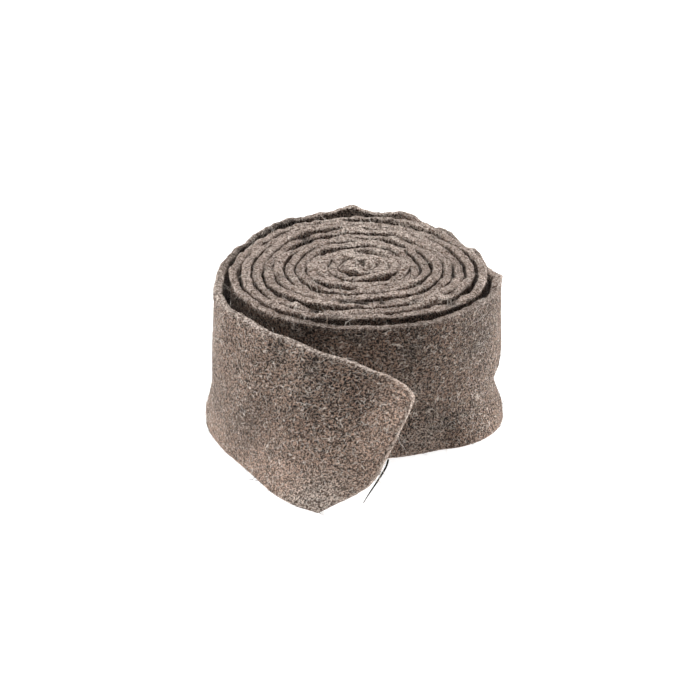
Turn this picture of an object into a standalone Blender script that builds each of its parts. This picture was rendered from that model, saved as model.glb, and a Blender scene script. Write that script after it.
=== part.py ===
"""A roll of thick felt ribbon standing on its edge, its outermost turn loose and its free end a slanting flap.

Metres, +Z up, with the front at -Y. The ribbon is first laid flat along X, as it is cut, and each of its
points is then wound on: its place along the ribbon gives the turn, and its height stays its height. The
inner turns are pressed together into one coil, with a groove between their rims on both sides.
"""

import bisect
import math

import bmesh
import bpy
from mathutils import Vector

MM = 0.001

# The ribbon
RIBBON_WIDTH = 75.0
FELT_THICKNESS = 4.0
EDGE_ROUNDING = 0.8

# The winding, in mm and degrees, about an axis that stands at ROLL_AXIS
ROLL_AXIS = Vector((3.53, 23.72, 0.0))
TURNS = 12
START_RADIUS = 3.0
TURN_PITCH = 5.68
LOOSE_TURN_PITCH = 2.4
WOUND_END_ANGLE = 195
OUTER_RADIUS = 73.6

# How far each side of the roll stands out, as a share of its mean radius
RING_OUTLINE = (
    # angle, share
    (0, 0.990),
    (30, 0.945),
    (60, 1.013),
    (90, 1.110),
    (120, 1.084),
    (150, 0.952),
    (180, 0.975),
    (210, 1.045),
    (240, 1.112),
    (270, 1.050),
    (300, 1.047),
    (330, 1.062),
)

# Slow swells that bring neighbouring turns together and apart
SWELLS = (
    # size, wave across the turns, lobes round the roll, phase
    (0.30, 23.0, 2, 40),
    (0.12, 14.0, 3, 200),
)

# Pockets where the turns from first_turn outward stand off
POCKETS = (
    # first_turn, angle, spread, push
    (11.05, 285, 55, 2.4),
    (7.0, 275, 55, 1.1),
    (6.0, 60, 50, 1.1),
    (9.0, 215, 40, 0.9),
    (10.0, 330, 35, 0.8),
    (4.0, 150, 50, 0.8),
)

# Height of the upper rim
BACK_RISE = 3.8
BACK_ANGLE = 95
CENTRE_RISE = 2.5
CENTRE_SPREAD = 14.0
RIM_WAVES = (
    # size, lobes in a turn, phase
    (0.8, 1.7, 20),
    (0.5, 4.3, 130),
)
OUTER_RIM = (
    # angle along the last turn, rise
    (195, 0.0),
    (235, -0.5),
    (260, -2.0),
    (300, -2.2),
    (330, -1.5),
    (347, -0.8),
    (356, -3.0),
    (368, -6.5),
    (374, -7.2),
    (380, -3.8),
    (386, -2.6),
    (396, -4.9),
    (406, -1.8),
    (420, -2.2),
    (429, 2.0),
    (436, 1.6),
    (444, -0.5),
    (454, 2.4),
    (465, -0.3),
    (490, -1.0),
    (515, -1.4),
    (540, -0.4),
    (555, 0.0),
)

# Where the outer wall leans, tucks in and is pinched: distances out from its upper rim, at shares of its height
WALL_ROWS = (0.0, 0.13, 0.26, 0.42, 0.65)
WALL_SIDE = (
    # angle along the last turn, then one column for each of WALL_ROWS
    (195, 0.0, 0.0, 0.0, 0.0, 0.0),
    (240, -2.5, -2.0, -1.6, -1.0, -0.4),
    (285, -4.0, -3.6, -3.1, -2.3, -1.2),
    (303, -2.7, -3.1, -3.1, -2.1, -0.7),
    (312, 1.3, -0.6, -1.9, -1.5, -0.3),
    (322, 3.8, 1.2, -1.5, -0.7, -0.1),
    (334, 4.8, 2.6, -1.9, 0.8, 0.5),
    (346, 3.9, 2.5, -2.9, 1.4, 1.0),
    (357, 2.2, 1.2, -2.9, 0.5, 0.7),
    (372, 1.0, 0.1, -0.9, -0.2, 0.1),
    (400, 0.0, 0.0, 0.0, 0.0, 0.0),
    (500, 0.0, 0.0, 0.0, 0.0, 0.0),
    (522, 3.5, 2.1, 1.1, 0.7, 0.4),
    (538, 7.5, 5.0, 3.1, 2.5, 1.6),
    (555, 8.0, 5.4, 3.6, 3.1, 2.2),
)
FOLLOWING_EASE = 0.4

# The free end: its lower edge on the floor and its upper edge, from the wound part to the cut
FLAP = (
    # step, lower x, lower y, upper x, upper y, upper z
    (1, -77.5, -34.4, -70.3, -36.0, 75.0),
    (2, -73.6, -46.3, -64.8, -52.5, 74.5),
    (3, -68.1, -58.6, -55.9, -64.0, 73.5),
    (4, -61.1, -70.3, -44.3, -76.3, 72.0),
    (5, -54.0, -81.8, -31.2, -84.6, 70.5),
    (6, -47.2, -93.5, -17.1, -95.0, 68.5),
    (7, -40.0, -105.0, -1.8, -100.7, 66.0),
    (8, -30.7, -114.7, 12.7, -108.4, 63.0),
    (9, -19.5, -121.6, 24.7, -119.0, 60.0),
    (10, -8.5, -127.0, 36.0, -127.0, 57.0),
)
CUT_STEP = 9
FLAP_BULGE = 1.5
CUT_OUTLINE = (
    # share of the width, distance past the corners
    (0.0, 0.0),
    (0.28, 11.8),
    (0.58, 8.0),
    (0.8, 4.0),
    (1.0, 0.0),
)
CUT_RUN = 40.0
UPPER_CORNER_RADIUS = 5.0
CORNER_SEGMENTS = 3

# The dark thread that lies on the floor beside the free end
THREAD_DIAMETER = 0.8
THREAD_SIDES = 2
THREAD_STEP = 2.0
THREAD_ROUTE = (
    # x, y
    (13.4, -71.4),
    (12.2, -78.6),
    (9.5, -87.7),
    (6.5, -96.7),
    (3.5, -105.4),
    (0.8, -114.0),
)

# The inner turns, pressed together as far as the middle of the felt in this turn and the one inside it
PRESSED_TURN = 11
GROOVE_DEPTH = 3.0

STATIONS_PER_TURN = 36
FIRST_TURN_STATIONS = 12
ROWS = (*WALL_ROWS, 1.0)

FELT_COLOUR = (0.235, 0.180, 0.145, 1.0)
THREAD_COLOUR = (0.030, 0.022, 0.020, 1.0)


def smooth_step(value):
    """A share from 0 to 1 with soft ends."""
    value = min(max(value, 0.0), 1.0)
    return value * value * (3 - 2 * value)


def window(distance, spread):
    """One at distance 0, falling softly to 0 at the spread on both sides."""
    return math.cos(math.pi / 2 * min(abs(distance) / spread, 1.0)) ** 2


def turned(angle):
    """The angle between -180 and 180 degrees."""
    return (angle + 180) % 360 - 180


def curve_through(rows, key):
    """The values at a key, on a smooth curve through rows whose first column is the key."""
    i = min(max(bisect.bisect_right([row[0] for row in rows], key) - 1, 0), len(rows) - 2)
    start, end = rows[i], rows[i + 1]
    before, after = rows[max(i - 1, 0)], rows[min(i + 2, len(rows) - 1)]
    span = end[0] - start[0]
    t = (key - start[0]) / span
    values = []
    for a, b, c, d in zip(before[1:], start[1:], end[1:], after[1:]):
        slope_in = (c - a) / (end[0] - before[0]) * span
        slope_out = (d - b) / (after[0] - start[0]) * span
        values.append(
            b * (1 + 2 * t) * (1 - t) ** 2
            + slope_in * t * (1 - t) ** 2
            + c * t * t * (3 - 2 * t)
            - slope_out * t * t * (1 - t)
        )
    return values


def curve_round(rows, angle):
    """The value at an angle, on a smooth closed curve through rows of angle and value."""
    first, last = rows[0], rows[-1]
    closed = ((last[0] - 360, last[1]), *rows, (first[0] + 360, first[1]))
    return curve_through(closed, angle % 360)[0]


def angle_of(turn):
    """Degrees wound when the ribbon has made so many turns, counted so that the last turn ends at 555."""
    return WOUND_END_ANGLE + 360 * (turn + 1 - TURNS)


def mean_radius(turn):
    return START_RADIUS + TURN_PITCH * turn + LOOSE_TURN_PITCH * smooth_step(turn - TURNS + 1)


def ring_radius(turn):
    """Distance from the roll's axis to the middle of the felt, at the upper rim."""
    angle, mean = angle_of(turn), mean_radius(turn)
    outline = 1 + (curve_round(RING_OUTLINE, angle) - 1) * min(mean / OUTER_RADIUS, 1.0)
    swell = sum(
        size * math.cos(math.tau * mean / wave + math.radians(lobes * angle + phase))
        for size, wave, lobes, phase in SWELLS
    )
    pushed = 0.0
    for first_turn, at, spread, push in POCKETS:
        off = turned(angle - at)
        if turn - off / 360 >= first_turn:
            pushed += push * window(off, spread)
    return mean * outline + swell * smooth_step(mean / 20) + pushed


def rim_height(turn):
    """Height of the upper rim on the wound part."""
    angle, mean = angle_of(turn), mean_radius(turn)
    to_back = (1 + math.cos(math.radians(angle - BACK_ANGLE))) / 2
    height = RIBBON_WIDTH + BACK_RISE * to_back * mean / OUTER_RADIUS
    height += CENTRE_RISE * math.exp(-((mean / CENTRE_SPREAD) ** 2))
    wave = sum(
        size * math.sin(math.radians(lobes * angle + phase)) for size, lobes, phase in RIM_WAVES
    )
    last_turn = smooth_step((turn - TURNS + 1) * 8)
    end = smooth_step((TURNS - turn) * 6)
    outer = curve_through(OUTER_RIM, max(angle, OUTER_RIM[0][0]))[0]
    height += wave * (1 - last_turn) + outer * last_turn
    return end * height + (1 - end) * RIBBON_WIDTH


def side_offset(turn, share):
    """How far the felt stands out from its upper rim, at a share of the height."""
    turns_inside = max(math.ceil(TURNS - 1 - turn), 0)
    angle = angle_of(turn) + 360 * turns_inside
    sides = curve_through(WALL_SIDE, angle)
    out = curve_through(tuple(zip((*WALL_ROWS, 1.0), (*sides, 0.0))), share)[0]
    return out if not turns_inside else min(out + FOLLOWING_EASE * turns_inside, 0.0)


def wound_point(turn, share):
    """A point of the felt's middle surface on the wound part."""
    angle = math.radians(angle_of(turn))
    radius = ring_radius(turn) + side_offset(turn, share)
    return Vector((radius * math.cos(angle), radius * math.sin(angle), share * rim_height(turn)))


def flap_rows():
    """The free end's table, led in by two sections of the wound part."""
    rows = []
    for step in (-1, 0):
        turn = TURNS + step / STATIONS_PER_TURN
        low, high = wound_point(turn, 0.0), wound_point(turn, 1.0)
        rows.append((step, low.x, low.y, high.x, high.y, high.z))
    return (*rows, *FLAP)


def flap_point(rows, step, share):
    """A point of the felt's middle surface on the free end."""
    low_x, low_y, high_x, high_y, high_z = curve_through(rows, step)
    low, high = Vector((low_x, low_y, 0.0)), Vector((high_x, high_y, high_z))
    ahead = Vector(curve_through(rows, step + 0.5)[:2]) - Vector((low_x, low_y))
    outward = Vector((ahead.y, -ahead.x, 0.0)).normalized()
    wall = side_offset(TURNS, share) - side_offset(TURNS, 0.0) * (1 - share)
    bulge = wall * (1 - smooth_step(step / 4)) + FLAP_BULGE * math.sin(math.pi * share) * smooth_step(step / 4)
    return low.lerp(high, share) + outward * bulge


class Winding:
    """Takes a point of the flat ribbon to its place on the roll."""

    def __init__(self):
        self.flap = flap_rows()
        first = [i / FIRST_TURN_STATIONS for i in range(FIRST_TURN_STATIONS)]
        last = TURNS * STATIONS_PER_TURN + len(FLAP)
        self.turns = first + [i / STATIONS_PER_TURN for i in range(STATIONS_PER_TURN, last + 1)]
        self.lengths = [0.0]
        for here, there in zip(self.turns, self.turns[1:]):
            self.lengths.append(self.lengths[-1] + (self.middle(there, 0.5) - self.middle(here, 0.5)).length)
        self.cut_station = len(self.turns) - 1 - len(FLAP) + CUT_STEP

    def middle(self, turn, share):
        if turn <= TURNS:
            return wound_point(turn, share)
        return flap_point(self.flap, (turn - TURNS) * STATIONS_PER_TURN, share)

    def turn_at(self, length):
        """The turn that lies a length along the ribbon."""
        i = min(max(bisect.bisect_right(self.lengths, length) - 1, 0), len(self.lengths) - 2)
        share = (length - self.lengths[i]) / (self.lengths[i + 1] - self.lengths[i])
        return self.turns[i] + share * (self.turns[i + 1] - self.turns[i])

    def outward(self, turn, share):
        """The felt's outward direction, level along the floor."""
        reach = 0.25 / STATIONS_PER_TURN
        along = self.middle(turn + reach, share) - self.middle(turn - reach, share)
        up = self.middle(turn, 1.0) - self.middle(turn, 0.0)
        normal = along.cross(up)
        normal.z *= smooth_step(share * 4)
        return normal.normalized()

    def place(self, length, depth, height):
        """The wound place of a point of the flat ribbon: mm along it, in towards the axis, and up it."""
        share = height / RIBBON_WIDTH
        turn = self.turn_at(length)
        return (self.middle(turn, share) - self.outward(turn, share) * depth + ROLL_AXIS) * MM


def material(name, colour, roughness):
    made = bpy.data.materials.new(name)
    made.use_nodes = True
    shader = made.node_tree.nodes["Principled BSDF"]
    shader.inputs["Base Color"].default_value = colour
    shader.inputs["Roughness"].default_value = roughness
    shader.inputs["Metallic"].default_value = 0.0
    return made


def round_edges(bm, edges, radius, segments):
    bmesh.ops.bevel(
        bm, geom=edges, offset=radius, segments=segments, profile=0.5, affect="EDGES", material=-1
    )


def flat_ribbon(winding):
    """The ribbon as it is cut, flat along X, with softened edges and a rounded end."""
    count = winding.cut_station
    bm = bmesh.new()
    bmesh.ops.create_grid(bm, x_segments=count, y_segments=len(ROWS) - 1, size=0.5)
    for vert in bm.verts:
        station = round((vert.co.x + 0.5) * count)
        row = round((vert.co.y + 0.5) * (len(ROWS) - 1))
        vert.co = (winding.lengths[station], 0.0, ROWS[row] * RIBBON_WIDTH)
        vert.co.x += curve_through(CUT_OUTLINE, ROWS[row])[0] * smooth_step(
            1 - (winding.lengths[count] - vert.co.x) / CUT_RUN
        )
    made = bmesh.ops.extrude_face_region(bm, geom=bm.faces[:])
    for vert in bm.verts:
        vert.co.y = -FELT_THICKNESS / 2
    for vert in (item for item in made["geom"] if isinstance(item, bmesh.types.BMVert)):
        vert.co.y = FELT_THICKNESS / 2
    bmesh.ops.recalc_face_normals(bm, faces=bm.faces)
    cut = winding.lengths[count]
    upper_corner = [
        edge
        for edge in bm.edges
        if all(vert.co.x > cut - MM and vert.co.z > RIBBON_WIDTH - MM for vert in edge.verts)
    ]
    round_edges(bm, upper_corner, UPPER_CORNER_RADIUS, CORNER_SEGMENTS)
    round_edges(bm, [edge for edge in bm.edges if edge.calc_face_angle() > math.radians(60)], EDGE_ROUNDING, 1)
    return bm


def pressed_coil():
    """The coil that the inner turns make, up to the middle of the felt in the outermost of them."""
    bm = bmesh.new()
    bmesh.ops.create_cone(
        bm, cap_ends=True, segments=STATIONS_PER_TURN + 1, radius1=1.0, radius2=1.0, depth=2.0
    )
    upright = [edge for edge in bm.edges if edge.verts[0].co.z * edge.verts[1].co.z < 0]
    bmesh.ops.subdivide_edges(bm, edges=upright, cuts=len(ROWS) - 2)
    for vert in bm.verts:
        around = math.atan2(vert.co.y, vert.co.x) % math.tau / math.tau
        station = round(around * (STATIONS_PER_TURN + 1)) % (STATIONS_PER_TURN + 1)
        turn = PRESSED_TURN - 1 + station / STATIONS_PER_TURN
        groove = GROOVE_DEPTH / rim_height(turn)
        share = (groove, *ROWS[1:-1], 1 - groove)[round((vert.co.z + 1) / 2 * (len(ROWS) - 1))]
        vert.co = (wound_point(turn, share) + ROLL_AXIS) * MM
    bmesh.ops.recalc_face_normals(bm, faces=bm.faces)
    return bm


def mesh_object(name, bm):
    mesh = bpy.data.meshes.new(name)
    bm.to_mesh(mesh)
    bm.free()
    return bpy.data.objects.new(name, mesh)


def felt_roll(collection):
    """The whole ribbon, wound, with its inner turns pressed together: one piece of felt."""
    winding = Winding()
    bm = flat_ribbon(winding)
    for vert in bm.verts:
        vert.co = winding.place(*vert.co)
    roll, coil = mesh_object("felt_roll", bm), mesh_object("coil", pressed_coil())
    collection.objects.link(roll)
    collection.objects.link(coil)
    press = roll.modifiers.new("press", "BOOLEAN")
    press.operation, press.solver, press.object = "UNION", "EXACT", coil
    evaluated = roll.evaluated_get(bpy.context.evaluated_depsgraph_get())
    roll.data = bpy.data.meshes.new_from_object(evaluated)
    roll.modifiers.clear()
    bpy.data.objects.remove(coil, do_unlink=True)
    roll.data.materials.clear()
    roll.data.materials.append(material("felt", FELT_COLOUR, 0.95))
    roll.data.shade_smooth()
    roll.data.set_sharp_from_angle(angle=math.radians(40))


def loose_thread(collection):
    """The thread, lying on the floor beside the free end."""
    curve = bpy.data.curves.new("loose_thread", "CURVE")
    curve.dimensions = "3D"
    curve.bevel_depth = THREAD_DIAMETER / 2 * MM
    curve.bevel_resolution = THREAD_SIDES
    curve.use_fill_caps = True
    rows = [(i, *point) for i, point in enumerate(THREAD_ROUTE)]
    reach = sum(math.dist(a, b) for a, b in zip(THREAD_ROUTE, THREAD_ROUTE[1:]))
    count = round(reach / THREAD_STEP)
    spline = curve.splines.new("POLY")
    spline.points.add(count)
    for i, point in enumerate(spline.points):
        x, y = curve_through(rows, i / count * (len(rows) - 1))
        place = (Vector((x, y, THREAD_DIAMETER / 2)) + ROLL_AXIS) * MM
        point.co = (*place, 1.0)
    curve.materials.append(material("thread", THREAD_COLOUR, 0.8))
    collection.objects.link(bpy.data.objects.new("loose_thread", curve))


def main():
    for leftover in list(bpy.data.objects):
        bpy.data.objects.remove(leftover, do_unlink=True)
    collection = bpy.data.collections.new("roll_of_felt")
    bpy.context.scene.collection.children.link(collection)
    felt_roll(collection)
    loose_thread(collection)


if __name__ == "__main__":
    main()
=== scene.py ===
"""Looks of the roll of felt: the wound ribbon of heathered wool, its loose fibres, and a loose thread.

Metres, +Z up, with the front at -Y. The ribbon's own sizes are in millimetres and degrees. It is laid
flat along X, shaped there, and then each of its points is wound on, exactly as the solid is.
"""

from __future__ import annotations

import logging
import math
from dataclasses import dataclass
from enum import Enum
from typing import Any

import bmesh
import bpy
import numpy as np
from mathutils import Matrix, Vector, noise


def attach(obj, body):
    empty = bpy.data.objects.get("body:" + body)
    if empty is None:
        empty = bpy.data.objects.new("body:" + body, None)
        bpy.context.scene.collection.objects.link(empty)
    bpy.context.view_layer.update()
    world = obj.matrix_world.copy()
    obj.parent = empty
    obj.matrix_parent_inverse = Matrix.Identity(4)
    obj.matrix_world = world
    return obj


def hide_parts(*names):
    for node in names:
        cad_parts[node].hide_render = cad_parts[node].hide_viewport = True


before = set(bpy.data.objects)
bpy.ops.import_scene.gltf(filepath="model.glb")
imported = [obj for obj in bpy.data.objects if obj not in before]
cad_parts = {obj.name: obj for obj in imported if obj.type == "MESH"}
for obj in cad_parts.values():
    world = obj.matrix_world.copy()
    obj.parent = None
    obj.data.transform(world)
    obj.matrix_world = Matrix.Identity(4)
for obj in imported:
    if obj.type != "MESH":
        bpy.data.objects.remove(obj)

MM = 0.001
# the winding's axis in the part's frame, in mm
ROLL_AXIS = (3.53, 23.72, 0.0)

log = logging.getLogger("roll_of_felt")


def smooth_step(value: np.ndarray | float) -> np.ndarray:
    """A share from 0 to 1 with soft ends."""
    value = np.clip(value, 0.0, 1.0)
    return value * value * (3 - 2 * value)


def curve_through(rows: np.ndarray, keys: np.ndarray) -> np.ndarray:
    """The values at each key, on a smooth curve through a table.

    Args:
        rows: The table, with its key in the first column.
        keys: Where to read it.

    Returns:
        One row of values for each key.
    """
    first = np.clip(np.searchsorted(rows[:, 0], keys, side="right") - 1, 0, len(rows) - 2)
    before, start, end, after = (rows[np.clip(first + k, 0, len(rows) - 1)] for k in (-1, 0, 1, 2))
    span = (end - start)[:, :1]
    t = (np.asarray(keys)[:, None] - start[:, :1]) / span
    slope_in = (end - before)[:, 1:] / (end - before)[:, :1] * span
    slope_out = (after - start)[:, 1:] / (after - start)[:, :1] * span
    return (
        start[:, 1:] * (1 + 2 * t) * (1 - t) ** 2
        + slope_in * t * (1 - t) ** 2
        + end[:, 1:] * t * t * (3 - 2 * t)
        - slope_out * t * t * (1 - t)
    )


def unit(vectors: np.ndarray) -> np.ndarray:
    """The vectors at length one."""
    return vectors / np.maximum(np.linalg.norm(vectors, axis=-1, keepdims=True), 1e-12)


@dataclass
class Winding:
    """How the flat ribbon is wound: the same turns, leans and free end as in the solid, in mm and degrees."""

    width: float = 75.0
    axis: tuple[float, float, float] = ROLL_AXIS
    turns: int = 12
    start_radius: float = 3.0
    pitch: float = 5.68
    loose_pitch: float = 2.4
    end_angle: float = 195.0
    outer_radius: float = 73.6
    # angle, share of the mean radius
    outline: tuple = (
        (0, 0.990),
        (30, 0.945),
        (60, 1.013),
        (90, 1.110),
        (120, 1.084),
        (150, 0.952),
        (180, 0.975),
        (210, 1.045),
        (240, 1.112),
        (270, 1.050),
        (300, 1.047),
        (330, 1.062),
    )
    # size, wave across the turns, lobes round the roll, phase
    swells: tuple = ((0.30, 23.0, 2, 40), (0.12, 14.0, 3, 200))
    # first turn, angle, spread, push
    pockets: tuple = (
        (11.05, 285, 55, 2.4),
        (7.0, 275, 55, 1.1),
        (6.0, 60, 50, 1.1),
        (9.0, 215, 40, 0.9),
        (10.0, 330, 35, 0.8),
        (4.0, 150, 50, 0.8),
    )
    back_rise: float = 3.8
    back_angle: float = 95.0
    centre_rise: float = 2.5
    centre_spread: float = 14.0
    # size, lobes in a turn, phase
    rim_waves: tuple = ((0.8, 1.7, 20), (0.5, 4.3, 130))
    # angle along the last turn, rise
    outer_rim: tuple = (
        (195, 0.0),
        (235, -0.5),
        (260, -2.0),
        (300, -2.2),
        (330, -1.5),
        (347, -0.8),
        (356, -3.0),
        (368, -6.5),
        (374, -7.2),
        (380, -3.8),
        (386, -2.6),
        (396, -4.9),
        (406, -1.8),
        (420, -2.2),
        (429, 2.0),
        (436, 1.6),
        (444, -0.5),
        (454, 2.4),
        (465, -0.3),
        (490, -1.0),
        (515, -1.4),
        (540, -0.4),
        (555, 0.0),
    )
    wall_rows: tuple = (0.0, 0.13, 0.26, 0.42, 0.65)
    # angle along the last turn, then how far out from the upper rim at each of wall_rows
    wall_side: tuple = (
        (195, 0.0, 0.0, 0.0, 0.0, 0.0),
        (240, -2.5, -2.0, -1.6, -1.0, -0.4),
        (285, -4.0, -3.6, -3.1, -2.3, -1.2),
        (303, -2.7, -3.1, -3.1, -2.1, -0.7),
        (312, 1.3, -0.6, -1.9, -1.5, -0.3),
        (322, 3.8, 1.2, -1.5, -0.7, -0.1),
        (334, 4.8, 2.6, -1.9, 0.8, 0.5),
        (346, 3.9, 2.5, -2.9, 1.4, 1.0),
        (357, 2.2, 1.2, -2.9, 0.5, 0.7),
        (372, 1.0, 0.1, -0.9, -0.2, 0.1),
        (400, 0.0, 0.0, 0.0, 0.0, 0.0),
        (500, 0.0, 0.0, 0.0, 0.0, 0.0),
        (522, 3.5, 2.1, 1.1, 0.7, 0.4),
        (538, 7.5, 5.0, 3.1, 2.5, 1.6),
        (555, 8.0, 5.4, 3.6, 3.1, 2.2),
    )
    following_ease: float = 0.4
    # step, lower x, lower y, upper x, upper y, upper z
    flap: tuple = (
        (1, -77.5, -34.4, -70.3, -36.0, 75.0),
        (2, -73.6, -46.3, -64.8, -52.5, 74.5),
        (3, -68.1, -58.6, -55.9, -64.0, 73.5),
        (4, -61.1, -70.3, -44.3, -76.3, 72.0),
        (5, -54.0, -81.8, -31.2, -84.6, 70.5),
        (6, -47.2, -93.5, -17.1, -95.0, 68.5),
        (7, -40.0, -105.0, -1.8, -100.7, 66.0),
        (8, -30.7, -114.7, 12.7, -108.4, 63.0),
        (9, -19.5, -121.6, 24.7, -119.0, 60.0),
        (10, -8.5, -127.0, 36.0, -127.0, 57.0),
    )
    cut_step: int = 9
    flap_bulge: float = 1.5
    stations_per_turn: int = 36
    first_turn_stations: int = 12

    def __post_init__(self) -> None:
        """Works out the free end's lead-in and the length of ribbon up to each station."""
        lead = np.array([-1.0, 0.0])
        turn = self.turns + lead / self.stations_per_turn
        low, high = self.wound(turn, np.zeros(2)), self.wound(turn, np.ones(2))
        lead_rows = np.column_stack([lead, low[:, :2], high])
        self.flap_rows = np.vstack([lead_rows, np.array(self.flap, float)])
        first = np.arange(self.first_turn_stations) / self.first_turn_stations
        last = self.turns * self.stations_per_turn + len(self.flap)
        rest = np.arange(self.stations_per_turn, last + 1) / self.stations_per_turn
        self.station_turns = np.concatenate([first, rest])
        centre = self.centre(self.station_turns, np.full(len(self.station_turns), 0.5))
        steps = np.linalg.norm(np.diff(centre, axis=0), axis=1)
        self.station_lengths = np.concatenate([[0.0], np.cumsum(steps)])
        cut = len(self.station_turns) - 1 - len(self.flap) + self.cut_step
        self.cut_length = float(self.station_lengths[cut])

    def angle(self, turn: np.ndarray) -> np.ndarray:
        """Degrees wound, counted so that the last turn ends 360 past end_angle."""
        return self.end_angle + 360 * (turn + 1 - self.turns)

    def mean_radius(self, turn: np.ndarray) -> np.ndarray:
        """The plain spiral's radius."""
        return self.start_radius + self.pitch * turn + self.loose_pitch * smooth_step(turn - self.turns + 1)

    def ring_radius(self, turn: np.ndarray) -> np.ndarray:
        """Distance from the roll's axis to the middle of the felt, at the upper rim."""
        angle, mean = self.angle(turn), self.mean_radius(turn)
        rows = np.array(self.outline, float)
        closed = np.vstack([rows[-1] - (360, 0), rows, rows[0] + (360, 0)])
        share = curve_through(closed, angle % 360)[:, 0]
        radius = mean * (1 + (share - 1) * np.minimum(mean / self.outer_radius, 1.0))
        for size, wave, lobes, phase in self.swells:
            swell = size * np.cos(math.tau * mean / wave + np.radians(lobes * angle + phase))
            radius = radius + swell * smooth_step(mean / 20)
        for first_turn, at, spread, push in self.pockets:
            off = (angle - at + 180) % 360 - 180
            window = np.cos(math.pi / 2 * np.minimum(np.abs(off) / spread, 1.0)) ** 2
            radius = radius + np.where(turn - off / 360 >= first_turn, push * window, 0.0)
        return radius

    def rim_height(self, turn: np.ndarray) -> np.ndarray:
        """Height of the upper rim on the wound part."""
        angle, mean = self.angle(turn), self.mean_radius(turn)
        to_back = (1 + np.cos(np.radians(angle - self.back_angle))) / 2
        height = self.width + self.back_rise * to_back * mean / self.outer_radius
        height = height + self.centre_rise * np.exp(-((mean / self.centre_spread) ** 2))
        wave = sum(s * np.sin(np.radians(lobes * angle + phase)) for s, lobes, phase in self.rim_waves)
        rows = np.array(self.outer_rim, float)
        outer = curve_through(rows, np.clip(angle, rows[0, 0], rows[-1, 0]))[:, 0]
        last_turn = smooth_step((turn - self.turns + 1) * 8)
        end = smooth_step((self.turns - turn) * 6)
        height = height + wave * (1 - last_turn) + last_turn * outer
        return end * height + (1 - end) * self.width

    def side_offset(self, turn: np.ndarray, share: np.ndarray) -> np.ndarray:
        """How far the felt stands out from its upper rim, at a share of the height."""
        inside = np.maximum(np.ceil(self.turns - 1 - turn), 0)
        sides = curve_through(np.array(self.wall_side, float), self.angle(turn) + 360 * inside)
        knots = np.array([*self.wall_rows, 1.0])
        weights = curve_through(np.column_stack([knots, np.eye(len(knots))]), share)[:, :-1]
        out = (weights * sides).sum(axis=1)
        return np.where(inside > 0, np.minimum(out + self.following_ease * inside, 0.0), out)

    def wound(self, turn: np.ndarray, share: np.ndarray) -> np.ndarray:
        """Points of the felt's middle surface on the wound part."""
        angle = np.radians(self.angle(turn))
        radius = self.ring_radius(turn) + self.side_offset(turn, share)
        height = share * self.rim_height(turn)
        return np.column_stack([radius * np.cos(angle), radius * np.sin(angle), height])

    def free_end(self, step: np.ndarray, share: np.ndarray) -> np.ndarray:
        """Points of the felt's middle surface on the free end."""
        here = curve_through(self.flap_rows, step)
        ahead = curve_through(self.flap_rows, step + 0.5)[:, :2] - here[:, :2]
        low = np.column_stack([here[:, :2], np.zeros(len(here))])
        outward = unit(np.column_stack([ahead[:, 1], -ahead[:, 0], np.zeros(len(here))]))
        ends = np.full(len(here), float(self.turns))
        wall = self.side_offset(ends, share) - self.side_offset(ends, 0 * share) * (1 - share)
        free = smooth_step(step / 4)
        bulge = wall * (1 - free) + self.flap_bulge * np.sin(math.pi * share) * free
        return low + (here[:, 2:] - low) * share[:, None] + outward * bulge[:, None]

    def centre(self, turn: np.ndarray, share: np.ndarray) -> np.ndarray:
        """Points of the felt's middle surface anywhere on the ribbon."""
        wound = self.wound(np.minimum(turn, self.turns), share)
        step = np.maximum((turn - self.turns) * self.stations_per_turn, 0.0)
        return np.where((turn <= self.turns)[:, None], wound, self.free_end(step, share))

    def turn_at(self, length: np.ndarray) -> np.ndarray:
        """The turn that lies a length along the ribbon."""
        extra = (length - self.station_lengths[-1]) / (self.station_lengths[-1] - self.station_lengths[-2])
        turn = np.interp(length, self.station_lengths, self.station_turns)
        return turn + np.maximum(extra, 0.0) / self.stations_per_turn

    def length_at(self, turn: float) -> float:
        """The length of ribbon up to a turn."""
        return float(np.interp(turn, self.station_turns, self.station_lengths))

    def place(self, flat: np.ndarray) -> np.ndarray:
        """The wound places of points of the flat ribbon.

        Args:
            flat: Rows of mm along the ribbon, in towards the axis, and up it.

        Returns:
            Their places in metres.
        """
        turn, share = self.turn_at(flat[:, 0]), flat[:, 2] / self.width
        reach = 0.25 / self.stations_per_turn
        along = self.centre(turn + reach, share) - self.centre(turn - reach, share)
        up = self.centre(turn, np.ones(len(turn))) - self.centre(turn, np.zeros(len(turn)))
        normal = np.cross(along, up)
        normal[:, 2] *= smooth_step(share * 4)
        return (self.centre(turn, share) - unit(normal) * flat[:, 1:2] + np.array(self.axis)) * MM


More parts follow.
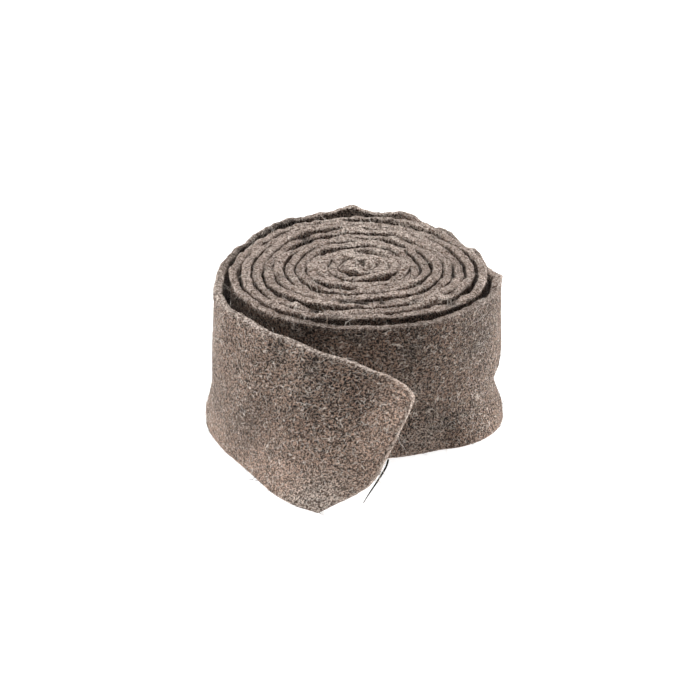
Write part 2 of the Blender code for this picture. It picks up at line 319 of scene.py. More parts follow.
class Wire:
    """A socket of a shader's graph, on which sums and products add their Math nodes."""

    def __init__(self, graph: Graph, socket: bpy.types.NodeSocket) -> None:
        """Keeps the graph and the socket."""
        self.graph = graph
        self.socket = socket

    def math(self, operation: str, *values: Any) -> Wire:
        """A Math node on these values."""
        return self.graph.node("ShaderNodeMath", {"operation": operation}, dict(enumerate(values)))

    def __add__(self, other: Any) -> Wire:
        """self + other."""
        return self.math("ADD", self, other)

    def __radd__(self, other: Any) -> Wire:
        """other + self."""
        return self.math("ADD", other, self)

    def __sub__(self, other: Any) -> Wire:
        """self - other."""
        return self.math("SUBTRACT", self, other)

    def __rsub__(self, other: Any) -> Wire:
        """other - self."""
        return self.math("SUBTRACT", other, self)

    def __mul__(self, other: Any) -> Wire:
        """self * other."""
        return self.math("MULTIPLY", self, other)

    def __rmul__(self, other: Any) -> Wire:
        """other * self."""
        return self.math("MULTIPLY", other, self)

    def __abs__(self) -> Wire:
        """The size of self."""
        return self.math("ABSOLUTE", self)

    def ramp(self, low: float, high: float) -> Wire:
        """0 below low and 1 above high, with soft ends."""
        settings = {"interpolation_type": "SMOOTHSTEP"}
        return self.graph.node("ShaderNodeMapRange", settings, {0: self, 1: low, 2: high})


class Graph:
    """One material's nodes."""

    def __init__(self, name: str) -> None:
        """Makes the material with its Principled shader."""
        self.material = bpy.data.materials.new(name)
        self.material.use_nodes = True
        self.tree = self.material.node_tree
        self.shader = self.tree.nodes["Principled BSDF"]

    def node(self, kind: str, settings: dict[str, Any], inputs: dict[Any, Any], output: Any = 0) -> Wire:
        """Adds a node.

        Args:
            kind: The node's type.
            settings: Its properties, set first.
            inputs: The values or wires of its sockets, by name or number.
            output: The socket to give back.

        Returns:
            The wire of that output.
        """
        made = self.tree.nodes.new(kind)
        for name, value in settings.items():
            setattr(made, name, value)
        for name, value in inputs.items():
            self.feed(made.inputs[name], value)
        return Wire(self, made.outputs[output])

    def feed(self, socket: bpy.types.NodeSocket, value: Any) -> None:
        """Links a wire to a socket, or sets its value."""
        if isinstance(value, Wire):
            self.tree.links.new(value.socket, socket)
        else:
            socket.default_value = value

    def finish(self, **inputs: Any) -> bpy.types.Material:
        """Feeds the shader's sockets, named with _ for a space, and gives the material back."""
        for name, value in inputs.items():
            self.feed(self.shader.inputs[name.replace("_", " ")], value)
        return self.material

    def mix(self, share: Wire, low: Any, high: Any) -> Wire:
        """A colour between two colours."""
        return self.node("ShaderNodeMix", {"data_type": "RGBA"}, {0: share, 6: low, 7: high}, 2)

    def attribute(self, name: str, output: str = "Fac") -> Wire:
        """One of the piece's own attributes."""
        return self.node("ShaderNodeAttribute", {"attribute_name": name}, {}, output)

    def bump(self, strength: float, distance: float, height: Wire) -> Wire:
        """A surface raised by a height, at most by a distance in metres."""
        return self.node("ShaderNodeBump", {}, {"Strength": strength, "Distance": distance, "Height": height})

    def noise(self, place: Wire, size: float, detail: float, roughness: float, bend: float) -> Wire:
        """Cloudy noise whose blots are about a size across, in metres."""
        inputs = {"Vector": place, "Scale": 1 / size, "Detail": detail, "Roughness": roughness}
        return self.node("ShaderNodeTexNoise", {}, {**inputs, "Distortion": bend})

    def strands(self, place: Wire, size: float, bend: float, width: float) -> Wire:
        """Thin winding lines, as of single fibres in the felt."""
        level = self.noise(place, size, 1.0, 0.5, bend)
        return 1 - abs(level - 0.5).ramp(0.0, width)

    def moved(self, place: Wire, by: tuple[float, float, float], stretch: tuple[float, float, float]) -> Wire:
        """The place shifted and stretched, so that two noises differ."""
        return self.node("ShaderNodeMapping", {}, {"Vector": place, "Location": by, "Scale": stretch})


Colour = tuple[float, float, float, float]


@dataclass(frozen=True)
class FeltFinish:
    """Heathered wool felt: grey-brown, with pale and dark fibres pressed in at all angles."""

    # the darkest wool, and also the colour of the painted shade
    deep: Colour = (0.008, 0.005, 0.004, 1.0)
    body: Colour = (0.350, 0.240, 0.182, 1.0)
    warm: Colour = (0.330, 0.205, 0.150, 1.0)
    cool: Colour = (0.165, 0.155, 0.138, 1.0)
    # warm pale colour of the painted floor light along the lower edge, and of the paling near the cut
    floor_light_and_cut_paling: Colour = (0.620, 0.430, 0.335, 1.0)
    # pale wool fibres, and also the colour of the painted light
    pale: Colour = (0.800, 0.700, 0.620, 1.0)
    dark: Colour = (0.007, 0.005, 0.004, 1.0)
    # colour of the painted highlight where fuzz on the rims and cut edges catches the light
    rim: Colour = (0.500, 0.420, 0.375, 1.0)
    # blot sizes and relief, in metres
    cloud_size: float = 0.009
    wool_size: float = 0.00095
    tint_size: float = 0.019
    relief: float = 0.0013
    # levels of the mottling between which dark wool turns to pale
    fleck: tuple[float, float] = (0.467, 0.554)
    # blot, winding, line width, seed
    pale_strands: tuple = (
        (0.0034, 0.3, 0.021, 0.13),
        (0.0043, 0.4, 0.018, 0.47),
        (0.0055, 0.4, 0.014, 0.71),
    )
    dark_strands: tuple = ((0.0032, 0.3, 0.028, 0.29), (0.0044, 0.4, 0.024, 0.93), (0.0038, 0.3, 0.022, 0.61))

    def strands(self, g: Graph, laid: Wire, rows: tuple) -> Wire:
        """Broken winding lines, as of short fibres lying in the felt.

        Args:
            g: The material's graph.
            laid: The place on the flat ribbon.
            rows: Each set's blot size, winding, line width and seed.

        Returns:
            1 on a strand and 0 beside it.
        """
        found = None
        for size, bend, width, seed in rows:
            place = g.moved(laid, (seed, 2 * seed, 3 * seed), (1, 1, 1))
            gap = g.noise(g.moved(place, (0.5, 0.2, 0.9), (1, 1, 1)), size * 0.4, 1.0, 0.5, 0.4)
            line = g.strands(place, size, bend, width) * gap.ramp(0.46, 0.53)
            found = line if found is None else found.math("MAXIMUM", found, line)
        return found

    def material(self) -> bpy.types.Material:
        """The felt's material, patterned on the flat ribbon's own place."""
        g = Graph("heathered_felt")
        laid = g.attribute("laid", "Vector")
        clouds = g.noise(laid, self.cloud_size, 3.0, 0.6, 0.5)
        wool = g.noise(laid, self.wool_size, 1.5, 0.5, 0.8)
        tint = g.noise(g.moved(laid, (0.3, 0.1, 0.2), (1, 1, 1)), self.tint_size, 3.0, 0.6, 0.4)
        fleck = (wool * 0.91 + clouds * 0.09).ramp(*self.fleck)
        warm = g.mix(tint.ramp(0.50, 0.70) * 0.5, self.body, self.warm)
        tinted = g.mix((1 - tint).ramp(0.52, 0.70) * 0.5, warm, self.cool)
        # the attributes paint highlights along the edges, floor light along the lower edge with paling near
        # the cut, and light and shade in listed places
        edge, floor_light_and_cut_paling, painted_shading = (g.attribute(name) for name in ("rim", "floor_light_and_cut_paling", "painted_shading"))
        bright = g.mix(floor_light_and_cut_paling * 0.85, g.mix(edge * 0.85, tinted, self.rim), self.floor_light_and_cut_paling)
        low = g.mix(edge * 0.40 + floor_light_and_cut_paling * 0.30, self.deep, self.body)
        # painted light pales the wool
        ground = g.mix(fleck, low, g.mix(painted_shading.ramp(0.0, 1.0) * 0.7, bright, self.pale))
        # painted shade darkens the wool
        ground = g.mix(painted_shading.ramp(0.0, -1.0) * 0.85, ground, self.deep)
        light = self.strands(g, laid, self.pale_strands)
        shade = self.strands(g, laid, self.dark_strands)
        colour = g.mix(light * 0.80, g.mix(shade * 0.85, ground, self.dark), self.pale)
        height = wool * 0.9 + light * 0.3 - shade * 0.2 + clouds * 0.5
        return g.finish(
            Base_Color=colour,
            Roughness=0.96,
            Normal=g.bump(1.0, self.relief, height),
            Specular_IOR_Level=0.1,
            Sheen_Weight=0.35,
            Sheen_Roughness=0.4,
            Sheen_Tint=(1.0, 0.86, 0.76, 1.0),
        )


@dataclass(frozen=True)
class FibreFinish:
    """Single wool fibres of one shade, each a little lighter or darker."""

    name: str
    low: Colour
    high: Colour

    def material(self) -> bpy.types.Material:
        """The fibres' material, shaded by each fibre's own tone."""
        g = Graph(self.name)
        colour = g.mix(g.attribute("tone"), self.low, self.high)
        return g.finish(Base_Color=colour, Roughness=0.85, Specular_IOR_Level=0.2)


@dataclass(frozen=True)
class ThreadFinish:
    """A dark spun thread that pales towards its frayed tip."""

    dark: Colour = (0.008, 0.004, 0.003, 1.0)
    grey: Colour = (0.16, 0.14, 0.13, 1.0)
    fade_from: float = -0.074
    fade_to: float = -0.092
    # length of one twist and relief, in metres
    twist: float = 0.0011
    relief: float = 0.0002

    def material(self) -> bpy.types.Material:
        """The thread's material."""
        g = Graph("dark_thread")
        place = g.node("ShaderNodeTexCoord", {}, {}, "Object")
        along = g.node("ShaderNodeSeparateXYZ", {}, {0: place}, 1)
        fuzz = g.noise(place, 0.0008, 3.0, 0.6, 1.0)
        pale = along.ramp(self.fade_from, self.fade_to) * fuzz.ramp(0.35, 0.65)
        turned = along * (math.tau / self.twist)
        bump = g.bump(0.5, self.relief, turned.math("SINE", turned) * 0.5 + fuzz)
        colour = g.mix(pale, self.dark, self.grey)
        return g.finish(Base_Color=colour, Roughness=1.0, Normal=bump, Specular_IOR_Level=0.0)


def dress(piece: bpy.types.Object, material: bpy.types.Material) -> None:
    """Links a piece, gives it its material and lets it ride with the part.

    Args:
        piece: The finished piece.
        material: Its material.
    """
    bpy.context.scene.collection.objects.link(piece)
    piece.data.materials.append(material)
    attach(piece, "root")


@dataclass
class FeltRibbon:
    """The whole ribbon as one piece of felt, laid flat, made uneven, and wound."""

    winding: Winding
    thickness: float = 4.0
    rounding: float = 1.0
    round_steps: int = 3
    corner_radius: float = 5.0
    wall_step: float = 1.2
    inner_step: float = 1.3
    heights: tuple = (0, 2.5, 7, 14, 22, 30, 38, 46, 54, 61, 66, 70.2, 73, 75)
    cut_run: float = 40.0
    # share of the width, mm past the corners
    cut_outline: tuple = ((0.0, 0.0), (0.28, 11.8), (0.58, 8.0), (0.8, 4.0), (1.0, 0.0))
    # size, blot
    lumps: tuple = ((0.30, 21.0), (0.10, 9.0))
    rim_lumps: tuple = ((1.25, 15.0), (0.80, 5.5), (0.65, 2.6))
    # share of those lumps on the free end
    end_lumps: float = 0.45
    # how far in from the cut edges the painted highlight reaches, in mm
    highlight_reach: float = 1.8
    # sideways wander of the upper rim: size, blot
    rim_sway: tuple = ((0.95, 14.0), (0.60, 5.0), (0.50, 2.6))
    sway_reach: float = 14.0
    # how much thicker the felt is at its rims, on each side: outer turn, inner turns, centre
    swelling: tuple[float, float, float] = (0.10, 0.38, 0.90)
    # how much that changes along the ribbon, over what length, and the most that it may be
    swell_change: tuple[float, float, float] = (0.75, 34.0, 0.95)
    # pulled tufts and pressed places, with painted light on some and painted shade on others where light and
    # shade fall among the rims: length, height, reach, how far up or down, shade (painted shade below 0,
    # painted light above 0)
    tufts_and_painted_shading: tuple = (
        (1694, 75, 7.0, 1.3, 0.9),
        (1705, 75, 6.0, -2.0, -1.0),
        (1261, 75, 8.0, -1.5, -0.9),
        (1307, 75, 5.0, -1.0, -0.7),
        (1028, 75, 5.0, -1.0, -0.7),
        (1769, 75, 9.0, 1.2, 0.7),
        (2154, 75, 9.0, -1.2, -0.8),
        (1413, 75, 6.0, -1.0, -0.7),
        (2093, 75, 8.0, -0.8, -0.6),
        (927, 75, 6.0, 0.8, 0.5),
        (1082, 75, 23.0, -2.8, -1.0),
        (2500, 75, 30.0, -1.3, -0.45),
        (2545, 75, 34.0, -0.5, -0.45),
        (2600, 75, 34.0, 0.0, -0.35),
        (1235, 75, 12.0, 0.8, 0.6),
        (690, 75, 12.0, 0.6, 0.6),
        (490, 75, 14.0, 0.5, 0.6),
        (3016, 2, 32.0, 0.0, 0.95),
        (3006, 60, 20.0, 0.0, -0.45),
        (2950, 16, 34.0, 0.0, -0.45),
        (2900, 50, 30.0, 0.0, 0.40),
        (2960, 36, 20.0, 0.0, -0.25),
        (2585, 56, 30.0, 0.0, -0.45),
        (2556, 10, 24.0, 0.0, 0.45),
        (2534, 60, 12.0, 0.0, 0.50),
        (2549, 38, 12.0, 0.0, 0.50),
    )
    # how far the paling reaches: the painted light of the floor's bounce up the last turn and up the free
    # end, and the paling in from the cut
    paling_reach: tuple[float, float, float] = (12.0, 46.0, 26.0)
    # how strong the painted floor light is on the last turn, against the free end
    turn_floor_light: float = 0.65
    # painted highlights on the rims, where fuzz catches the light: on the free end and at the centre
    rim_highlights: tuple[float, float] = (0.7, 0.5)
    # inside the roll, painted shade darkens the felt below its rims, where the gaps lie in shade, but painted
    # light pales it at the back, which faces the light
    gap_shade_share: float = 0.50
    gap_shade_reach: float = 2.5
    # the back's middle, half its spread, and how much painted light pales the inner turns there
    back_light: tuple[float, float, float] = (80.0, 46.0, 0.75)
    # stretches of the last turn's inner side and rim darkened by painted shade or paled by painted light:
    # angle, spread, shade
    last_turn_shading: tuple = ((150.0, 52.0, -0.85), (90.0, 24.0, 0.70), (36.0, 36.0, -0.65))

    def stations(self) -> np.ndarray:
        """Lengths at which the ribbon is divided, closer together on the outer wall and the free end."""
        loose, cut = self.winding.length_at(self.winding.turns - 1.1), self.winding.cut_length
        inner = np.linspace(0, loose, round(loose / self.inner_step), endpoint=False)
        return np.concatenate([inner, np.linspace(loose, cut, round((cut - loose) / self.wall_step))])

    def flat_slab(self) -> bmesh.types.BMesh:
        """The ribbon as it is cut, flat along X, with rounded edges and a rounded end."""
        stations, heights = self.stations(), np.array(self.heights)
        past = self.past_cut(heights)
        towards_cut = smooth_step(1 - (self.winding.cut_length - stations) / self.cut_run)
        bm = bmesh.new()
        count, rows = len(stations) - 1, len(heights) - 1
        bmesh.ops.create_grid(bm, x_segments=count, y_segments=rows, size=0.5)
        for vert in bm.verts:
            i, j = round((vert.co.x + 0.5) * count), round((vert.co.y + 0.5) * rows)
            vert.co = (stations[i] + past[j] * towards_cut[i], -self.thickness / 2, heights[j])
        made = bmesh.ops.extrude_face_region(bm, geom=bm.faces[:])
        for vert in (item for item in made["geom"] if isinstance(item, bmesh.types.BMVert)):
            vert.co.y = self.thickness / 2
        bmesh.ops.recalc_face_normals(bm, faces=bm.faces)
        edges = [edge for edge in bm.edges if edge.calc_face_angle() > math.radians(60)]
        steps = self.round_steps
        bmesh.ops.bevel(
            bm, geom=edges, offset=self.rounding, segments=steps, profile=0.5, affect="EDGES", material=-1
        )
        bm.normal_update()
        return bm

    def uneven(self, flat: np.ndarray, normals: np.ndarray) -> np.ndarray:
        """The flat places pushed in and out a little, more at the two rims.

        Args:
            flat: The slab's points.
            normals: Their outward directions.

        Returns:
            The points moved.
        """
        at_rim = np.abs(normals[:, 2])
        upper = np.where(flat[:, 2] > self.winding.width / 2, at_rim, 0.0)
        turn = self.winding.turn_at(flat[:, 0])
        on_end = smooth_step((turn - self.winding.turns) * 5 + 1)
        push = np.zeros(len(flat))
        rims = upper * (1 - (1 - self.end_lumps) * on_end)
        for weight, table in ((1 - at_rim, self.lumps), (rims, self.rim_lumps)):
            for size, blot in table:
                push += size * weight * self.blots(flat, blot)
        for length, height, reach, out, _ in self.tufts_and_painted_shading:
            push += out * upper * self.near(flat, length, height, reach)
        moved = flat + normals * push[:, None]
        near_rim = 1 - smooth_step((self.winding.width - flat[:, 2]) / self.sway_reach)
        for size, blot in self.rim_sway:
            moved[:, 1] += size * near_rim * self.blots(flat * (1, 0, 1) + (500, 0, 0), blot)
        outer, inner, centre = self.swelling
        swell = inner + (centre - inner) * (1 - smooth_step(turn / 5))
        swell += (outer - inner) * smooth_step(turn - self.winding.turns + 1.5)
        change, reach, most = self.swell_change
        varied = self.blots(flat * (1, 0, 0) + (0, 900, 0), reach)
        swell += change * varied * smooth_step(turn / 4) * (1 - on_end)
        moved[:, 1] += np.sign(flat[:, 1]) * np.clip(swell, 0.0, most) * near_rim
        return moved

    def past_cut(self, heights: np.ndarray) -> np.ndarray:
        """How far the cut end reaches past its corners at these heights, its upper corner rounded."""
        past = curve_through(np.array(self.cut_outline, float), heights / self.winding.width)[:, 0]
        into_corner = np.maximum(heights - self.winding.width + self.corner_radius, 0.0)
        return past - self.corner_radius + np.sqrt(self.corner_radius**2 - into_corner**2)

    def to_cut(self, flat: np.ndarray) -> np.ndarray:
        """Distance along the ribbon to its cut end."""
        return self.winding.cut_length + self.past_cut(flat[:, 2]) - flat[:, 0]

    def from_edge(self, flat: np.ndarray) -> np.ndarray:
        """Distance from the nearest cut edge."""
        return np.minimum(np.minimum(flat[:, 2], self.winding.width - flat[:, 2]), self.to_cut(flat))

    def near(self, flat: np.ndarray, length: float, height: float, reach: float) -> np.ndarray:
        """1 at a place of the flat ribbon, falling softly to 0 at the reach."""
        return 1 - smooth_step(np.hypot(flat[:, 0] - length, flat[:, 2] - height) / reach)

    def floor_light_and_cut_paling(self, flat: np.ndarray) -> np.ndarray:
        """How much paler the felt is: painted light of the floor's bounce along its lower edge, most of all
        on the free end, and paler near the cut.
        """
        on_turn, on_end, from_cut = self.paling_reach
        turn = self.winding.turn_at(flat[:, 0]) - self.winding.turns
        free = smooth_step(turn * 5)
        reach = on_turn + (on_end - on_turn) * free
        light_share = self.turn_floor_light + (1 - self.turn_floor_light) * free
        low = (1 - smooth_step(flat[:, 2] / reach)) * smooth_step(turn + 1.5) * light_share
        return np.maximum(low, 1 - smooth_step(self.to_cut(flat) / from_cut))

    def shading(self, flat: np.ndarray) -> np.ndarray:
        """How much painted shade darkens or painted light pales the wool in each place, from -1 to 1."""
        turn = self.winding.turn_at(flat[:, 0])
        past = turn - self.winding.turns
        # painted highlights on the rims, stronger on the free end and at the centre
        on_end, at_centre = self.rim_highlights
        rims = on_end * smooth_step(past * 8 + 1) + at_centre * (1 - smooth_step(turn / 7))
        shade = (1 - smooth_step(self.from_edge(flat) / self.highlight_reach)) * rims
        inside = (past < -1.02) | ((flat[:, 1] > 0) & (past < 0))
        middle, spread, pale = self.back_light
        to_back = self.window(turn, middle, spread)
        # painted shade below the rims inside the roll, where the gaps lie in shade, except at the back
        gap_shade = smooth_step((self.winding.width - flat[:, 2] - 1.0) / self.gap_shade_reach)
        shade -= self.gap_shade_share * gap_shade * inside * (1 - to_back)
        facing_in = smooth_step((flat[:, 1] + 1.5) / 1.5)
        last = smooth_step((past + 1) * 20) * smooth_step(-past * 20)
        # painted light on the inner turns at the back, which face the light
        shade += pale * to_back * facing_in * (1 - last)
        # painted light and shade on stretches of the last turn's inner side and rim
        for middle, spread, added in self.last_turn_shading:
            shade += added * last * facing_in * self.window(turn, middle, spread)
        # painted light and shade at the listed tufts and dark places
        for *row, _, added in self.tufts_and_painted_shading:
            shade += added * self.near(flat, *row)
        return np.clip(shade, -1.0, 1.0)

    def window(self, turn: np.ndarray, middle: float, spread: float) -> np.ndarray:
        """1 about an angle round the roll, falling softly to 0 at the spread."""
        off = (self.winding.angle(turn) - middle + 180) % 360 - 180
        return smooth_step((1 - np.abs(off) / spread) * 2)

    def blots(self, flat: np.ndarray, size: float) -> np.ndarray:
        """Smooth noise from -1 to 1 whose blots are a size across."""
        return np.array([noise.noise(Vector(p) / size) for p in flat])

    def build(self, finish: FeltFinish) -> bpy.types.Object:
        """Makes the felt and dresses it.

        Args:
            finish: Its finish.

        Returns:
            The piece.
        """
        bm = self.flat_slab()
        flat = np.array([vert.co for vert in bm.verts])
        normals = np.array([vert.normal for vert in bm.verts])
        wound = self.winding.place(self.uneven(flat, normals))
        wound[:, 2] = np.maximum(wound[:, 2], 0.0)
        for vert, place in zip(bm.verts, wound):
            vert.co = place
        bmesh.ops.recalc_face_normals(bm, faces=bm.faces)
        mesh = bpy.data.meshes.new("wound_felt")
        bm.to_mesh(mesh)
        bm.free()
        mesh.shade_smooth()
        laid = mesh.attributes.new("laid", "FLOAT_VECTOR", "POINT")
        laid.data.foreach_set("vector", (flat * MM).ravel())
        # painted highlight along the rims and the cut end
        rim = 1 - smooth_step(self.from_edge(flat) / self.highlight_reach)
        # the painted highlight, the painted floor light with the cut's paling, and the painted light and
        # shade go to the material
        for name, values in (("rim", rim), ("floor_light_and_cut_paling", self.floor_light_and_cut_paling(flat)), ("painted_shading", self.shading(flat))):
            mesh.attributes.new(name, "FLOAT", "POINT").data.foreach_set("value", values)
        piece = bpy.data.objects.new("wound_felt", mesh)
        dress(piece, finish.material())
        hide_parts("felt_roll")
        return piece


class Shade(Enum):
    """The shades of single fibres: low and high colour, how many of each hundred, how much coarser."""

    WHITE = ((0.55, 0.49, 0.43, 1.0), (0.90, 0.83, 0.76, 1.0), 20, 1.5)
    BEIGE = ((0.25, 0.185, 0.140, 1.0), (0.46, 0.36, 0.285, 1.0), 24, 1.1)
    BROWN = ((0.06, 0.040, 0.031, 1.0), (0.16, 0.110, 0.086, 1.0), 24, 1.0)
    DARK = ((0.006, 0.004, 0.003, 1.0), (0.022, 0.015, 0.012, 1.0), 24, 1.4)


@dataclass
class LooseFibres:
    """Curly wool fibres that lie on the felt and stand a little off it, as thin tapered tubes."""

    felt: bpy.types.Object
    winding: Winding
    count: int = 34000
    points: int = 5
    sides: int = 3
    # mm
    length: tuple[float, float] = (1.5, 10.5)
    radius: tuple[float, float] = (0.060, 0.120)
    root_depth: float = 0.12
    lowest: float = 0.25
    # how much rarer long fibres are, how much longer coarse ones, and how much shorter those on the upper rim
    rareness: float = 1.7
    coarse_longer: float = 0.8
    rim_shorter: float = 0.50
    # the last ring's thickness, as a share of the root's
    taper: float = 0.45
    # radians: the spread of a fibre's bend and of its wave
    curl: float = 0.60
    wave: float = 0.28
    # radians off the felt at the root: least, most, more on the upper rim
    leaving: tuple[float, float, float] = (0.10, 0.60, 0.4)
    # radians off the felt at the tip: mean, spread, more on the upper rim
    tipping: tuple[float, float, float] = (-0.12, 0.30, 0.3)
    # heights on the ribbon, in mm: where the upper rim begins, the inner sides that show, and the foot's top
    rim_from: float = 72.0
    inner_from: float = 66.0
    foot_to: float = 3.0
    # how thickly they stand there, against the outer wall
    rim_density: float = 2.0
    inner_density: float = 0.35
    foot_density: float = 1.2
    # where the fibres begin to stand up as on the upper rim, and over how many mm
    rim_blend: tuple[float, float] = (70.0, 4.0)
    seed: int = 11

    def density(self, flat: np.ndarray) -> np.ndarray:
        """How thickly the fibres stand at places of the flat ribbon, in metres."""
        length, inward, height = flat[:, 0] / MM, flat[:, 1], flat[:, 2] / MM
        turn = self.winding.turn_at(length)
        outer_face = (turn > self.winding.turns - 1.05) & (inward < 0)
        free_face = (turn > self.winding.turns - 0.05) & (inward > 0)
        faces, rim = outer_face | free_face, height > self.rim_from
        weight = np.where(rim, self.rim_density, np.where(faces, 1.0, 0.0))
        weight = np.where((height > self.inner_from) & ~rim & ~faces, self.inner_density, weight)
        return np.where((height < self.foot_to) & faces, self.foot_density, weight)

    def roots(self, rng: np.random.Generator, count: int) -> tuple[np.ndarray, np.ndarray, np.ndarray]:
        """Random places on the felt.

        Args:
            rng: The seeded source.
            count: How many.

        Returns:
            The places, the felt's outward directions there, and how near the upper rim each is.
        """
        mesh = self.felt.data
        mesh.calc_loop_triangles()
        triangles = np.empty(len(mesh.loop_triangles) * 3, np.int32)
        mesh.loop_triangles.foreach_get("vertices", triangles)
        triangles = triangles.reshape(-1, 3)
        places, normals, flat = (np.empty(len(mesh.vertices) * 3, np.float32) for _ in range(3))
        mesh.vertices.foreach_get("co", places)
        mesh.vertices.foreach_get("normal", normals)
        mesh.attributes["laid"].data.foreach_get("vector", flat)
        places, normals, flat = (a.reshape(-1, 3).astype(float) for a in (places, normals, flat))
        a, b, c = (places[triangles[:, k]] for k in range(3))
        weight = np.linalg.norm(np.cross(b - a, c - a), axis=1) * self.density(flat[triangles].mean(axis=1))
        chosen = rng.choice(len(triangles), size=count, p=weight / weight.sum())
        share = rng.random((count, 2))
        share = np.where((share.sum(axis=1) > 1)[:, None], 1 - share, share)
        share = np.column_stack([1 - share.sum(axis=1), share])[:, :, None]
        corners = triangles[chosen]
        place, normal = ((values[corners] * share).sum(axis=1) for values in (places, normals))
        height = (flat[corners] * share).sum(axis=1)[:, 2] / MM
        start, span = self.rim_blend
        return place, unit(normal), smooth_step((height - start) / span)

    def paths(self, rng: np.random.Generator, count: int, coarse: float) -> np.ndarray:
        """The points that each fibre runs through, root first, longer for coarser ones."""
        place, normal, at_rim = self.roots(rng, count)
        aside = unit(np.cross(normal, rng.normal(size=(count, 3))))
        across = np.cross(normal, aside)
        shortest, longest = self.length
        length = rng.uniform(0, 1, count) ** self.rareness * (longest - shortest) + shortest
        length *= coarse**self.coarse_longer * (1 - self.rim_shorter * at_rim)
        curl, wave = rng.normal(0, self.curl, count), rng.normal(0, self.wave, count)
        least, most, more = self.leaving
        lift_from = rng.uniform(least, most, count) + more * at_rim
        mean, spread, more = self.tipping
        lift_to = rng.normal(mean, spread, count) + more * at_rim
        steps = np.arange(self.points - 1) / (self.points - 2)
        heading = curl[:, None] * steps + wave[:, None] * np.sin(math.tau * steps)
        lift = lift_from[:, None] + (lift_to - lift_from)[:, None] * steps
        way = (
            np.cos(heading)[:, :, None] * aside[:, None] + np.sin(heading)[:, :, None] * across[:, None]
        ) * np.cos(lift)[:, :, None] + np.sin(lift)[:, :, None] * normal[:, None]
        stride = way * (length * MM / (self.points - 1))[:, None, None]
        start = place - normal * self.root_depth * MM
        path = np.concatenate([start[:, None], start[:, None] + np.cumsum(stride, axis=1)], axis=1)
        path[:, :, 2] = np.maximum(path[:, :, 2], self.lowest * MM)
        return path

    def tubes(
        self, rng: np.random.Generator, path: np.ndarray, coarse: float
    ) -> tuple[np.ndarray, np.ndarray]:
        """Closed tubes along the paths, tapered to a tip.

        Args:
            rng: The seeded source.
            path: The fibres' points.
            coarse: How much thicker they are.

        Returns:
            All vertices, and the corners of all triangles.
        """
        count, points = path.shape[:2]
        way = unit(np.gradient(path, axis=1))
        side = unit(np.cross(way, rng.normal(size=(count, 1, 3))))
        other = np.cross(way, side)
        taper = np.linspace(coarse, coarse * self.taper, points)
        radius = rng.uniform(*self.radius, count)[:, None] * taper[None] * MM
        turn = math.tau * np.arange(self.sides) / self.sides
        ring = side[:, :, None] * np.cos(turn)[:, None] + other[:, :, None] * np.sin(turn)[:, None]
        rings = path[:, :, None] + ring * radius[:, :, None, None]
        body = rings[:, :-1].reshape(count, -1, 3)
        verts = np.concatenate([body, path[:, -1:]], axis=1)
        sides, last, tip = self.sides, (points - 2) * self.sides, (points - 1) * self.sides
        faces = [(0, 2, 1)]
        for i in range(sides):
            j = (i + 1) % sides
            for base in range(0, last, sides):
                a, b, c, d = base + i, base + j, base + sides + j, base + sides + i
                faces += [(a, b, c), (a, c, d)]
            faces.append((last + i, last + j, tip))
        starts = np.arange(count)[:, None, None] * (tip + 1)
        return verts.reshape(-1, 3), (np.array(faces)[None] + starts).reshape(-1, 3)

    def build(self) -> list[bpy.types.Object]:
        """Makes one piece of fibres for each shade."""
        rng = np.random.default_rng(self.seed)
        made = []
        for shade in Shade:
            low, high, share, coarse = shade.value
            name = f"{shade.name.lower()}_fibres"
            path = self.paths(rng, self.count * share // 100, coarse)
            verts, faces = self.tubes(rng, path, coarse)
            mesh = bpy.data.meshes.new(name)
            mesh.from_pydata(verts.tolist(), [], faces.tolist())
            mesh.shade_smooth()
            tone = np.repeat(rng.random(len(path)), len(verts) // len(path))
            mesh.attributes.new("tone", "FLOAT", "POINT").data.foreach_set("value", tone)
            piece = bpy.data.objects.new(name, mesh)
            dress(piece, FibreFinish(name, low, high).material())
            made.append(piece)
        return made


@dataclass
class LooseThread:
    """The dark thread that lies on the floor beside the free end."""

    axis: tuple[float, float, float] = ROLL_AXIS
    diameter: float = 0.8
    # thickness at the start and at the frayed tip, as shares of the diameter
    start: float = 1.25
    tip: float = 0.45
    step: float = 2.0
    # x, y
    route: tuple = (
        (13.4, -71.4),
        (12.2, -78.6),
        (9.5, -87.7),
        (6.5, -96.7),
        (3.5, -105.4),
        (0.8, -114.0),
    )

    def points(self) -> np.ndarray:
        """The thread's centre line, in metres."""
        rows = np.column_stack([np.arange(len(self.route)), np.array(self.route, float)])
        reach = np.linalg.norm(np.diff(rows[:, 1:], axis=0), axis=1).sum()
        keys = np.linspace(0, len(rows) - 1, round(reach / self.step) + 1)
        flat = curve_through(rows, keys)
        height = np.full((len(flat), 1), self.diameter / 2 * self.start)
        return (np.hstack([flat, height]) + np.array(self.axis)) * MM

    def build(self, finish: ThreadFinish) -> bpy.types.Object:
        """Args:
            finish: Its finish.

        Returns:
            The piece.
        """
        points = self.points()
        curve = bpy.data.curves.new("thread", "CURVE")
        curve.dimensions = "3D"
        curve.bevel_depth = self.diameter / 2 * MM
        curve.bevel_resolution = 3
        curve.use_fill_caps = True
        spline = curve.splines.new("POLY")
        spline.points.add(len(points) - 1)
        sizes = self.start + (self.tip - self.start) * np.linspace(0, 1, len(points)) ** 2
        for point, place, size in zip(spline.points, points, sizes):
            point.co, point.radius = (*place, 1.0), size
        spline.use_smooth = True
        piece = bpy.data.objects.new("thread", curve)
        dress(piece, finish.material())
        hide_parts("loose_thread")
        return piece


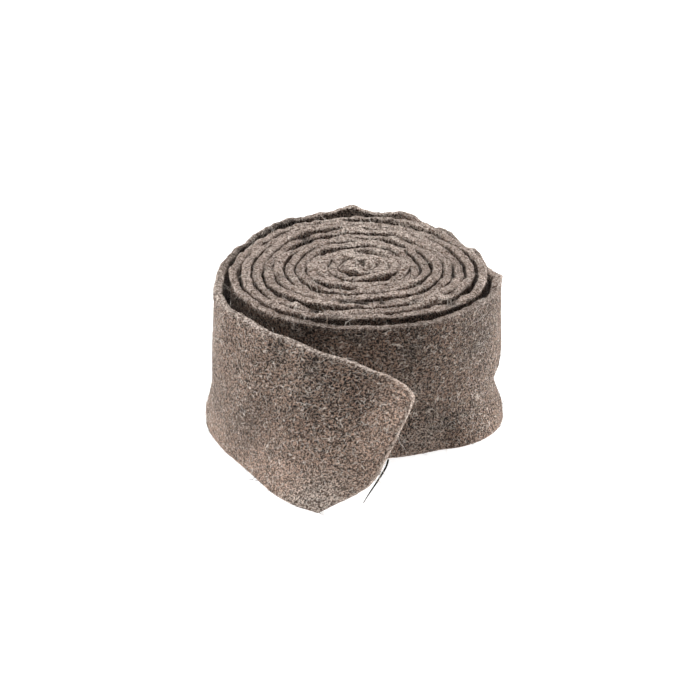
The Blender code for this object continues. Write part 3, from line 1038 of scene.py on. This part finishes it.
@dataclass
class Studio:
    """A plain pale floor, soft lights and the camera at the photograph's angle."""

    aim: tuple[float, float, float] = (-0.00197, 0.01972, 0.030)
    elevation: float = 24.0
    distance: float = 0.80
    lens: float = 78.0
    sensor: float = 36.0
    floor_size: float = 4.0
    # name, place, size, watts
    lamps: tuple = (
        ("key", (-1.00, -0.80, 0.80), 0.8, 2.5),
        ("top", (-0.05, 0.45, 1.50), 0.9, 34.0),
        ("left", (-1.28, 0.30, 0.15), 0.25, 18.5),
        ("right", (1.21, 0.54, 0.15), 0.25, 28.0),
    )
    sky: float = 0.14
    floor_glow: float = 0.90
    floor_shade: float = 0.45
    # the floor under the roll, which hardly glows: centre, radii
    covered: tuple[float, float, float, float] = (0.0035, 0.0277, 0.070, 0.075)
    # the shares of those radii between which the glow comes in
    covered_edge: tuple[float, float] = (0.92, 1.0)
    covered_glow: float = 0.02

    def camera(self) -> bpy.types.Object:
        """Makes the camera and gives it to the scene."""
        data = bpy.data.cameras.new("camera")
        data.lens, data.sensor_width = self.lens, self.sensor
        made = bpy.data.objects.new("camera", data)
        tilt = math.radians(self.elevation)
        back = Vector((0.0, -math.cos(tilt), math.sin(tilt)))
        made.location = Vector(self.aim) + back * self.distance
        made.rotation_euler = (-back).to_track_quat("-Z", "Y").to_euler()
        bpy.context.scene.collection.objects.link(made)
        bpy.context.scene.camera = made
        return made

    def floor(self) -> bpy.types.Object:
        """Makes the floor."""
        bm = bmesh.new()
        bmesh.ops.create_grid(bm, x_segments=1, y_segments=1, size=self.floor_size / 2)
        mesh = bpy.data.meshes.new("floor")
        bm.to_mesh(mesh)
        bm.free()
        made = bpy.data.objects.new("floor", mesh)
        bpy.context.scene.collection.objects.link(made)
        graph = Graph("pale_floor")
        x, y, across, deep = self.covered
        place = graph.node("ShaderNodeTexCoord", {}, {}, "Object")
        place = graph.moved(place, (-x / across, -y / deep, 0.0), (1 / across, 1 / deep, 1.0))
        away = graph.node("ShaderNodeVectorMath", {"operation": "LENGTH"}, {0: place}, "Value")
        covered, pale = ((*[value] * 3, 1.0) for value in (self.covered_glow, self.floor_shade))
        glow = graph.mix(away.ramp(*self.covered_edge), covered, (1.0, 1.0, 1.0, 1.0))
        inputs = {"Base_Color": pale, "Emission_Color": glow, "Emission_Strength": self.floor_glow}
        mesh.materials.append(graph.finish(Roughness=0.9, **inputs))
        return made

    def light(self) -> None:
        """Lights the scene."""
        for name, place, size, watts in self.lamps:
            data = bpy.data.lights.new(name, "AREA")
            data.size, data.energy = size, watts
            lamp = bpy.data.objects.new(name, data)
            lamp.location = place
            lamp.rotation_euler = Vector(place).to_track_quat("Z", "Y").to_euler()
            bpy.context.scene.collection.objects.link(lamp)
        world = bpy.data.worlds.new("studio")
        world.use_nodes = True
        world.node_tree.nodes["Background"].inputs[0].default_value = (1.0, 1.0, 1.0, 1.0)
        world.node_tree.nodes["Background"].inputs[1].default_value = self.sky
        bpy.context.scene.world = world
        bpy.context.scene.view_settings.view_transform = "Standard"


def main() -> None:
    """Builds the scene in order and reports each piece."""
    logging.basicConfig(level=logging.INFO, format="%(message)s")
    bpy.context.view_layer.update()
    studio = Studio()
    studio.camera()
    thread = LooseThread().build(ThreadFinish())
    log.info("%s: %d points", thread.name, len(thread.data.splines[0].points))
    winding = Winding()
    felt = FeltRibbon(winding).build(FeltFinish())
    log.info("%s: %d faces, ribbon %.0f mm", felt.name, len(felt.data.polygons), winding.cut_length)
    fibres = LooseFibres(felt, winding).build()
    for piece in fibres:
        log.info("%s: %d triangles", piece.name, len(piece.data.polygons))
    studio.floor()
    studio.light()


if __name__ == "__main__":
    main()
